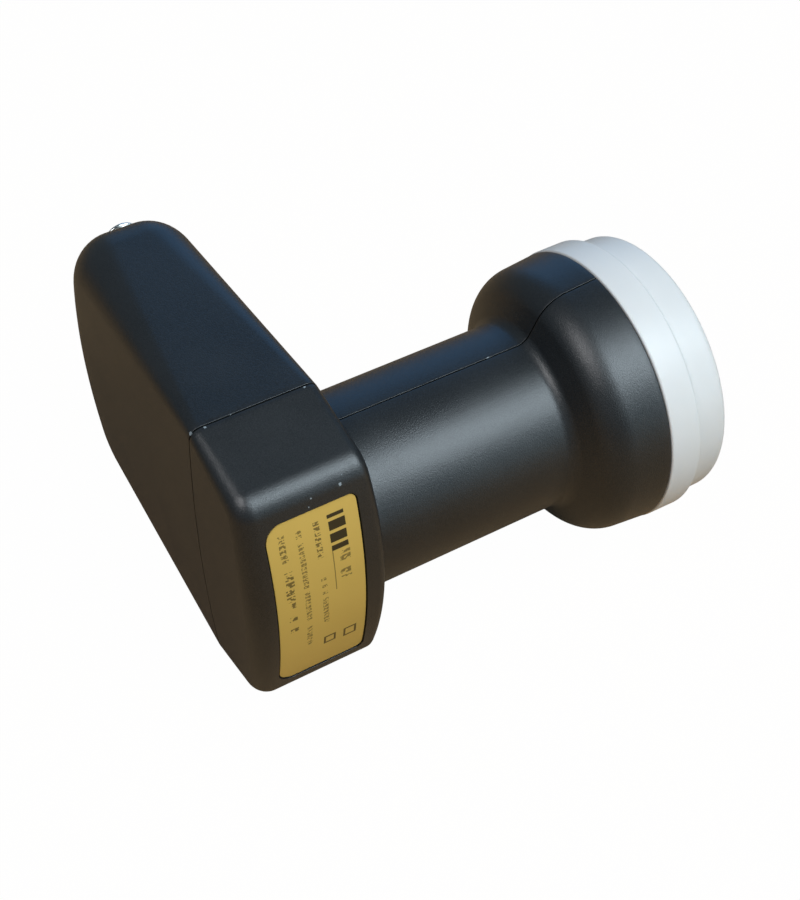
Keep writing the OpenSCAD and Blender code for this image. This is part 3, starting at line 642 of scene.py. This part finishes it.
def housing_material():
    """Black satin moulding with grain, dust, faint scuffs and a few white flecks at their own places, and
    painted shade in the label's recess, where its gloss is cut.
    """
    scuff_share, speck_share, fleck_share, painted_shade_depth = 0.2, 0.35, 0.8, 0.9
    material, n, shader = new_material("housing_plastic", IOR=1.68)
    g = use_group(n, GRAIN, Grain_scale=4600.0, Grain_height=0.05, Roughness=0.37,
                  Roughness_spread=0.06, Mottle=3.5)
    d = use_group(n, DUST, Scale=120.0, Share=0.03, Size=0.035)
    where = n.place()
    ragged = n.math("MULTIPLY", n.math("SUBTRACT", n.noise(where, 3500.0, 2), 0.5), 0.5 * MM)
    marks = 0.0
    for x, y, z, radius in FLECKS:
        far = n.distance(where, (x * MM, y * MM, z * MM))
        marks = n.math("MAXIMUM", marks, n.math("LESS_THAN", n.math("ADD", far, ragged), radius * MM))
    base = n.mix(g.outputs["Tone"], (0.0050, 0.0052, 0.0056), (0.0100, 0.0102, 0.0106))
    base = n.mix(n.math("MULTIPLY", d.outputs["Scuffs"], scuff_share), base, (0.10, 0.09, 0.08))
    dust = n.math("MAXIMUM", n.math("MULTIPLY", d.outputs["Specks"], speck_share),
                  n.math("MULTIPLY", marks, fleck_share))
    finish(n, shader, g, n.mix(dust, base, (0.34, 0.38, 0.40)))
    # Painted shade: in the label's recess the gloss falls to a tenth, so that its wall and floor look shaded
    gloss_under_painted_shade = n.math("MULTIPLY_ADD", recess_mask(n, where), -painted_shade_depth, 1.0)
    gloss = n.math("MULTIPLY", n.ramp(g.outputs["Tone"], -0.5, 1.5, 0.40, 0.60), gloss_under_painted_shade)
    n.links.new(gloss, shader.inputs["Specular IOR Level"])
    return material


def cap_material():
    """White satin moulding with very fine grain, a trace of dirt in patches and slight depth."""
    dirt_share = 0.25
    material, n, shader = new_material(
        "cap_plastic", IOR=1.47, Subsurface_Weight=0.15, Subsurface_Scale=1.0,
        Subsurface_Radius=(0.6 * MM, 0.7 * MM, 0.8 * MM))
    g = use_group(n, GRAIN, Grain_scale=1700.0, Grain_height=0.006, Roughness=0.38, Roughness_spread=0.04)
    d = use_group(n, DUST, Scale=110.0, Share=0.06, Size=0.04, Scuffs=0.3)
    base = n.mix(g.outputs["Tone"], (0.755, 0.718, 0.688), (0.80, 0.763, 0.733))
    dirt = n.math("MAXIMUM", d.outputs["Specks"], d.outputs["Scuffs"])
    finish(n, shader, g, n.mix(n.math("MULTIPLY", dirt, dirt_share), base, (0.42, 0.40, 0.36)))
    return material


def printed_row():
    """Row of small smudges, as print too fine to read.

    In each cell along Z there is a gap, or a noise that is ink where it is above the level Thinness.
    """
    tree, n, gin, gout = new_group(
        "printed_row",
        {"Row X": 0.0, "Half height": 0.5, "From Z": -10.0, "To Z": 10.0, "Pitch": 1.0, "Seed": 0.0,
         "Thinness": 0.5},
        {"Ink": "Float"})
    i = gin.outputs
    inked_width, gap_share, lift_share = 0.74, 0.13, 0.3
    stroke_scale, cell_stretch, cell_shift = 1.1, 3.0, 7.3
    xyz = n.add("ShaderNodeSeparateXYZ", {0: n.place()})
    x, z = (n.math("DIVIDE", xyz.outputs[axis], MM) for axis in "XZ")
    cell = n.math("DIVIDE", z, i["Pitch"])
    number = n.math("ADD", n.math("FLOOR", cell), i["Seed"])
    along = n.math("FRACT", cell)
    pick = n.add("ShaderNodeTexWhiteNoise", {"W": number}, noise_dimensions="1D").outputs["Value"]
    most_lift = n.math("MULTIPLY", i["Half height"], lift_share)
    lift = n.math("MULTIPLY", n.math("SUBTRACT", pick, 0.5), most_lift)
    across = n.math("ABSOLUTE", n.math("ADD", n.math("SUBTRACT", x, i["Row X"]), lift))
    grown = n.add("ShaderNodeCombineXYZ", {0: n.math("DIVIDE", x, i["Half height"]),
                                           1: n.math("MULTIPLY", number, cell_shift),
                                           2: n.math("MULTIPLY", along, cell_stretch)})
    ink = n.product(
        n.math("LESS_THAN", across, i["Half height"]),
        n.math("LESS_THAN", along, inked_width),
        n.math("GREATER_THAN", pick, gap_share),
        n.math("GREATER_THAN", n.noise(grown.outputs[0], stroke_scale, 1), i["Thinness"]),
        n.math("GREATER_THAN", z, i["From Z"]),
        n.math("LESS_THAN", z, i["To Z"]))
    tree.links.new(ink, gout.inputs["Ink"])
    return tree


ROW = printed_row()

# Rows on the foil, as [middle X, half height, low Z, high Z, pitch, strength, thinness]; the first is so
# little thinned that its cells are plain blocks
ROWS = [(-29.9, 1.7, 12.0, 20.4, 2.8, 0.95, 0.2), (-29.3, 1.1, 4.2, 11.2, 1.75, 0.62, 0.47),
        (-34.0, 0.6, 11.6, 20.0, 1.2, 0.7, 0.47), (-34.0, 0.55, -7.0, 7.6, 0.95, 0.62, 0.47),
        (-37.6, 0.55, -12.2, 20.6, 0.95, 0.62, 0.47), (-41.0, 0.65, 14.0, 20.2, 1.15, 0.66, 0.47),
        (-40.8, 0.85, -5.4, 11.6, 1.9, 0.72, 0.48)]
SEED_STEP, FIRST_SEED = 31.0, 3

# A line and two squares, as [X, Z, half width, half length, strength], and what is left bare in the squares
BARS = [(-31.6, 7.4, 0.1, 5.6, 0.6), (-28.8, -13.8, 1.4, 1.5, 0.8), (-33.2, -13.4, 1.3, 1.3, 0.8)]
HOLLOWS = [(-28.8, -13.8, 0.95, 1.05), (-33.2, -13.4, 0.85, 0.85)]


def foil_material():
    """Gold foil with a fine grain, and blocks, rows of smudges, a line and two hollow squares on it."""
    material, n, shader = new_material("label_foil", Metallic=0.12, IOR=1.4)
    xyz = n.add("ShaderNodeSeparateXYZ", {0: n.place()}).outputs

    def rectangle(x, z, w, l):
        """1 within half width w and half length l of a middle."""
        dx = n.math("SUBTRACT", n.math("ABSOLUTE", n.math("SUBTRACT", xyz["X"], x * MM)), w * MM)
        dz = n.math("SUBTRACT", n.math("ABSOLUTE", n.math("SUBTRACT", xyz["Z"], z * MM)), l * MM)
        return n.math("LESS_THAN", n.math("MAXIMUM", dx, dz), 0.0)

    ink = 0.0
    for x, z, w, l, strength in BARS:
        ink = n.math("MAXIMUM", ink, n.math("MULTIPLY", rectangle(x, z, w, l), strength))
    for x, z, w, l in HOLLOWS:
        ink = n.math("SUBTRACT", ink, rectangle(x, z, w, l))
    for k, (x, half, low, high, pitch, strength, thinness) in enumerate(ROWS):
        row = use_group(n, ROW, Row_X=x, Half_height=half, From_Z=low, To_Z=high, Pitch=pitch,
                        Seed=SEED_STEP * k + FIRST_SEED, Thinness=thinness)
        ink = n.math("MAXIMUM", ink, n.math("MULTIPLY", row.outputs["Ink"], strength))
    g = use_group(n, GRAIN, Grain_scale=1900.0, Grain_height=0.015, Roughness=0.52, Roughness_spread=0.06)
    tone = n.mix(g.outputs["Tone"], (0.66, 0.42, 0.09), (0.76, 0.49, 0.116))
    finish(n, shader, g, n.mix(ink, tone, (0.012, 0.009, 0.006)))
    return material


# Finishes of one colour, as [colour, roughness, metallic, grain scale, grain height, spread, shade]
PLAIN = {
    "seal_rubber": ((0.02, 0.02, 0.02), 0.62, 0.0, 2600.0, 0.03),
    "cast_metal": ((0.50, 0.51, 0.52), 0.46, 1.0, 900.0, 0.05, 0.12),
    "cover_metal": ((0.56, 0.57, 0.58), 0.40, 1.0, 900.0, 0.04, 0.12),
    "screw_steel": ((0.60, 0.60, 0.58), 0.30, 1.0, 3000.0, 0.01),
    "absorber_foam": ((0.04, 0.04, 0.045), 0.85, 0.0, 1200.0, 0.12),
    "board_laminate": ((0.03, 0.16, 0.07), 0.32, 0.0, 1500.0, 0.02, 0.05, 0.2),
    "resonator_ceramic": ((0.52, 0.45, 0.33), 0.60, 0.0, 2000.0, 0.03),
    "brass_parts": ((0.70, 0.50, 0.20), 0.28, 1.0, 2600.0, 0.01),
    "chip_resin": ((0.02, 0.02, 0.022), 0.55, 0.0, 3000.0, 0.02),
    "capacitor_ceramic": ((0.42, 0.31, 0.17), 0.50, 0.0, 3000.0, 0.02),
    "choke_ferrite": ((0.16, 0.10, 0.06), 0.45, 0.0, 2500.0, 0.03),
    "nickel_plating": ((0.66, 0.66, 0.63), 0.24, 1.0, 2600.0, 0.008, 0.10, 0.06),
    "insulator_plastic": ((0.76, 0.75, 0.70), 0.45, 0.0, 1800.0, 0.01),
}
FINISHES = {
    "housing_plastic": housing_material(),
    "cap_plastic": cap_material(),
    "label_foil": foil_material(),
}
FINISHES.update((slot, plain_material(slot, *values)) for slot, values in PLAIN.items())
SLOTS = {part["node"]: part["material_slot"] for part in frame["record"]["subparts"]}
for node_name, node_object in frame["nodes"].items():
    node_object.data.materials.clear()
    node_object.data.materials.append(FINISHES[SLOTS[node_name]])


def half_shell(name, half, node, works=()):
    """Closed shell of one housing half: outer and inner skin, rim, lips and joint faces. Gives the outer."""
    outer = shell_surface(half, 0, SLIT + LIP)
    inner = shell_surface(half, WALL, SLIT)
    grids = [outer, inner, np.stack([outer[-1], inner[-1]])]
    grids += [seam_strip(half, outer, inner, 0, 1), seam_strip(half, outer, inner, -1, -1)]
    make_piece(name, grids, "housing_plastic", [node], works=works)
    return outer


def joint_tongue(outer):
    """Strip that closes the slit between the halves, a rectangle carried along the seam line."""
    low = WALL - TONGUE_FROM_WALL
    corners = ((TONGUE_DEPTH, -SLIT), (TONGUE_DEPTH, SLIT), (low, SLIT), (low, -SLIT), (TONGUE_DEPTH, -SLIT))
    curves = []
    for col, side in ((0, 1), (-1, -1)):
        curve = outer[:-TONGUE_END_ROWS, col]
        into = inward(curve, side)
        curves.append(np.stack([curve + into * d + [0, y - curve[0, 1], 0] for d, y in corners], 1))
    strip = np.concatenate([curves[0][:0:-1], curves[1][1:]])
    make_piece("joint_tongue", [strip], "housing_plastic")


def output_works():
    """Boss round the connector, a turned body with one round edge, and the stepped hole through it."""
    at = (OUTPUT_X, OUTPUT_Z)
    boss = [(FLANGE_Y1, 0), (FLANGE_Y1, BOSS_R), (THREAD_Y0, BOSS_R), (THREAD_Y0, 0)]
    low_y, high_y, wide_r = FLANGE_Y0 + 1, THREAD_Y0 + 3, FLANGE_R + 0.1
    hole = [(low_y, 0), (low_y, wide_r), (SEAT_Y, wide_r), (SEAT_Y, HOLE_R), (high_y, HOLE_R), (high_y, 0)]
    return [("UNION", turned(rounded(boss, [0, 0, 0.5, 0]), OUTPUT_SEGMENTS, "y", at)),
            ("DIFFERENCE", turned(hole, OUTPUT_SEGMENTS, "y", at))]


def feed_cap():
    """Feed cap, hollow, turned round the neck's axis: rear ring, step, front ring and round front edge."""
    profile = [  # X, radius and the corner's rounding
        (CAP_X0 + 2, SKIRT_BORE_R, 0), (CAP_X0, SKIRT_BORE_R, 0.2), (CAP_X0, CAP_REAR_R, 0.45),
        (CAP_RING_X, CAP_RING_R, 0.75), (CAP_STEP_X, CAP_STEP_R, 0.35), (CAP_EDGE_X, CAP_EDGE_R, 1.75),
        (CAP_FACE_X, CAP_FACE_R, 6), (CAP_FACE_X, 0, 0), (CAP_INSIDE_X, 0, 0),
        (CAP_INSIDE_X, FRONT_BORE_R, 1.5), (MIDDLE_BORE_X, FRONT_BORE_R, 0),
        (MIDDLE_BORE_X, MIDDLE_BORE_R, 0), (SKIRT_BORE_X, MIDDLE_BORE_R, 0),
        (SKIRT_BORE_X, SKIRT_BORE_R, 0), (CAP_X0 + 2, SKIRT_BORE_R, 0)]
    points, radii = [p[:2] for p in profile], [p[2] for p in profile]
    shell = turned(rounded(points, radii, 8), CAP_SEGMENTS)
    make_piece("feed_cap_shell", [shell], "cap_plastic", ["feed_cap"])


def foil_grid(depth, inset):
    """Foil's face in polar form, depth under the bulged end face: rays from its middle to its outline.

    The outline is a rectangle with round corners, moved in by inset. Its sides are cut into equal steps, as
    many as fit with the length step.
    """
    step = 1.5
    x0, x1, z1 = FOIL_X0 + inset, FOIL_X1 - inset, FOIL_Z - inset
    back_r, front_r = FOIL_BACK_R - inset, FOIL_FRONT_R - inset
    corners = ((x1 - front_r, z1 - front_r, front_r, 0), (x0 + back_r, z1 - back_r, back_r, 90),
               (x0 + back_r, back_r - z1, back_r, 180), (x1 - front_r, front_r - z1, front_r, 270))
    path = np.concatenate([[cx, cz] + r * heading(np.radians(start + steps(0, 90, 12)))
                           for cx, cz, r, start in corners])
    path = np.concatenate([path, path[:1]])
    fine = [a + w * (b - a) for a, b in zip(path, path[1:])
            for w in steps(0, 1, max(1, int(np.linalg.norm(b - a) / step)))[:-1]]
    path = np.array(fine + [path[0]])
    middle = np.array([(x0 + x1) / 2, 0])
    p = middle + steps(0, 1, 16)[:, None, None] * (path - middle)
    y = lab_mid - np.sqrt((LABEL_END_R - depth) ** 2 - p[..., 1] ** 2)
    return np.stack([p[..., 0], y, p[..., 1]], -1)


def foil_label():
    """Foil in the recess: a top and a low face and the strip between their outlines."""
    top, low = foil_grid(RECESS - FOIL_T, TOP_INSET), foil_grid(RECESS - FOIL_LIFT, LOW_INSET)
    make_piece("foil_label", [top, low, np.stack([top[-1], low[-1]])], "label_foil", ["rating_label"])


def threaded_output():
    """Connector body: a single-start V thread on a tube with a flange.

    The thread's radius is a wave of (distance / pitch - turn), which fades out at the tip.
    """
    a = steps(0, 2 * math.pi, OUTPUT_SEGMENTS)
    y = steps(THREAD_START, THREAD_Y1, 110)
    phase = (y[:, None] / PITCH - a[None] / (2 * math.pi)) % 1
    wave = np.clip(np.abs(phase - 0.5) * FLANK_SLOPE - ROOT_FLAT, 0, 1)
    fade = np.clip((THREAD_Y1 - FADE_GAP - y) / FADE_RUN, 0, 1)[:, None]
    r = THREAD_ROOT_R + (THREAD_R - THREAD_ROOT_R) * wave * fade
    r[:, -1] = r[:, 0]
    shank_r, tip_r = THREAD_ROOT_R + 0.2, THREAD_ROOT_R - 0.1
    low = [(FLANGE_Y0, BORE_R), (FLANGE_Y0, FLANGE_R), (FLANGE_Y1, FLANGE_R), (FLANGE_Y1, shank_r),
           (THREAD_START, shank_r)]
    high = [(THREAD_Y1, tip_r), (THREAD_Y1, MOUTH_R), (THREAD_Y1 - MOUTH_L, MOUTH_LOW_R),
            (FLANGE_Y0, BORE_R)]

    def rings(points):
        """Y and radius of full circles, one for each point."""
        p = np.array(points)[:, :, None]
        return (np.broadcast_to(p[:, k], (len(points), len(a))) for k in (0, 1))

    (y0, r0), (y1, r1) = rings(low), rings(high)
    yy = np.concatenate([y0, np.broadcast_to(y[:, None], r.shape), y1])
    rr = np.concatenate([r0, r, r1])
    c, s = np.cos(a), np.sin(a)
    c[-1], s[-1] = c[0], s[0]
    grid = np.stack([OUTPUT_X + rr * c, yy, OUTPUT_Z + rr * s], -1)
    make_piece("threaded_output", [grid], "nickel_plating", ["output_connector"], 50)


half_shell("output_half_shell", 1, "housing_output_half", output_works())
joint_tongue(half_shell("label_half_shell", -1, "housing_label_half"))
feed_cap()
foil_label()
threaded_output()


# Floor, light and camera

# The floor's side and its distance under the housing, in metres
FLOOR_SIZE, FLOOR_GAP = 12, 0.0001

# Lamps as [name, direction, distance and size in metres, watts, colour]
LAMPS = [("key", (0.36, -0.54, 0.76), 1.1, 0.65, 10.2, (0.78, 0.915, 1.0)),
         ("side", (-0.53, -0.17, 0.83), 1.1, 0.43, 4.0, (0.98, 0.98, 1.0)),
         ("window", (0.50, 0.80, 0.33), 1.2, 0.9, 1.5, (0.10, 0.43, 1.0)),
         ("fill", (0.55, -0.83, 0.06), 1.2, 0.9, 2.2, (0.64, 0.87, 1.0))]

# Camera fitted to the photograph: focal length and picture height in pixels, width of the sensor, place,
# directions, and the range of its sight in metres
FOCAL_PX, PICTURE_PX, SENSOR = 1593.2036, 900, 36.0
CAMERA_AT = [-112.95, -189.459, 235.596]
CAMERA_FORWARD, CAMERA_RIGHT = (0.3403, 0.5962, -0.7271), (0.8648, -0.5021, -0.007)
CLIP_NEAR, CLIP_FAR = 0.01, 50


def white_share(n, to_camera, to_others):
    """How much of a surface is plain white, to the camera's rays and to glossy and transmitted ones."""
    path = n.add("ShaderNodeLightPath").outputs
    others = n.math("ADD", path["Is Glossy Ray"], path["Is Transmission Ray"])
    return n.math("ADD", n.math("MULTIPLY", path["Is Camera Ray"], to_camera),
                  n.math("MULTIPLY", others, to_others))


def add_floor():
    """Warm floor that looks white to the camera."""
    bpy.ops.mesh.primitive_plane_add(size=FLOOR_SIZE, location=(0, 0, -HALF_W * MM - FLOOR_GAP))
    floor = bpy.context.object
    floor.name = "floor"
    floor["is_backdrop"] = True
    material, n, shader = new_material("floor", Roughness=0.9, Base_Color=(0.37, 0.225, 0.105, 1),
                                       Specular_IOR_Level=0.1)
    white = n.add("ShaderNodeEmission", {"Color": (1, 1, 1, 1), "Strength": 1.01}).outputs[0]
    mixed = n.add("ShaderNodeMixShader", {0: white_share(n, 0.98, 0.03), 1: shader.outputs[0], 2: white})
    n.links.new(mixed.outputs[0], material.node_tree.nodes["Material Output"].inputs["Surface"])
    floor.data.materials.append(material)


def add_sky():
    """Pale blue sky that looks white to the camera."""
    world = bpy.data.worlds.new("sky")
    bpy.context.scene.world = world
    world.use_nodes = True
    n = Nodes(world.node_tree)
    sky = n.add("ShaderNodeBackground", {"Color": (0.52, 0.78, 1.0, 1), "Strength": 0.18}).outputs[0]
    white = n.add("ShaderNodeBackground", {"Color": (1, 1, 1, 1), "Strength": 1.0}).outputs[0]
    mixed = n.add("ShaderNodeMixShader", {0: white_share(n, 1.0, 0.05), 1: sky, 2: white})
    n.links.new(mixed.outputs[0], world.node_tree.nodes["World Output"].inputs["Surface"])


def look_along(obj, forward, right):
    """Turns a camera or lamp so that it looks along forward, with right to its right."""
    f = np.array(forward, float) / np.linalg.norm(forward)
    r = np.array(right, float)
    r = r - f * (r @ f)
    r /= np.linalg.norm(r)
    u = np.cross(r, f)
    obj.rotation_euler = Matrix(np.stack([r, u, -f], 1).tolist()).to_euler()


def soft_lamp(name, direction, distance, size, watts, colour):
    """Square lamp that stands off in a direction and looks at the frame's origin, in the neck."""
    lamp = bpy.data.lights.new(name, "AREA")
    lamp.shape, lamp.size, lamp.energy, lamp.color = "SQUARE", size, watts, colour
    obj = new_object(name, lamp)
    d = np.array(direction, float) / np.linalg.norm(direction)
    obj.location = d * distance
    obj.visible_camera = False
    look_along(obj, -d, np.cross(-d, (0, 0, 1)))


add_floor()
add_sky()
for values in LAMPS:
    soft_lamp(*values)

camera = new_object("camera", bpy.data.cameras.new("camera"))
camera.data.sensor_width = SENSOR
camera.data.lens = FOCAL_PX * SENSOR / PICTURE_PX
camera.data.clip_start, camera.data.clip_end = CLIP_NEAR, CLIP_FAR
camera.location = np.array(CAMERA_AT) * MM
look_along(camera, CAMERA_FORWARD, CAMERA_RIGHT)
bpy.context.scene.camera = camera
bpy.context.scene.view_settings.view_transform = "Standard"

[[list(map(float, corner)) for corner in box] for box in (cad_bounds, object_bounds())]
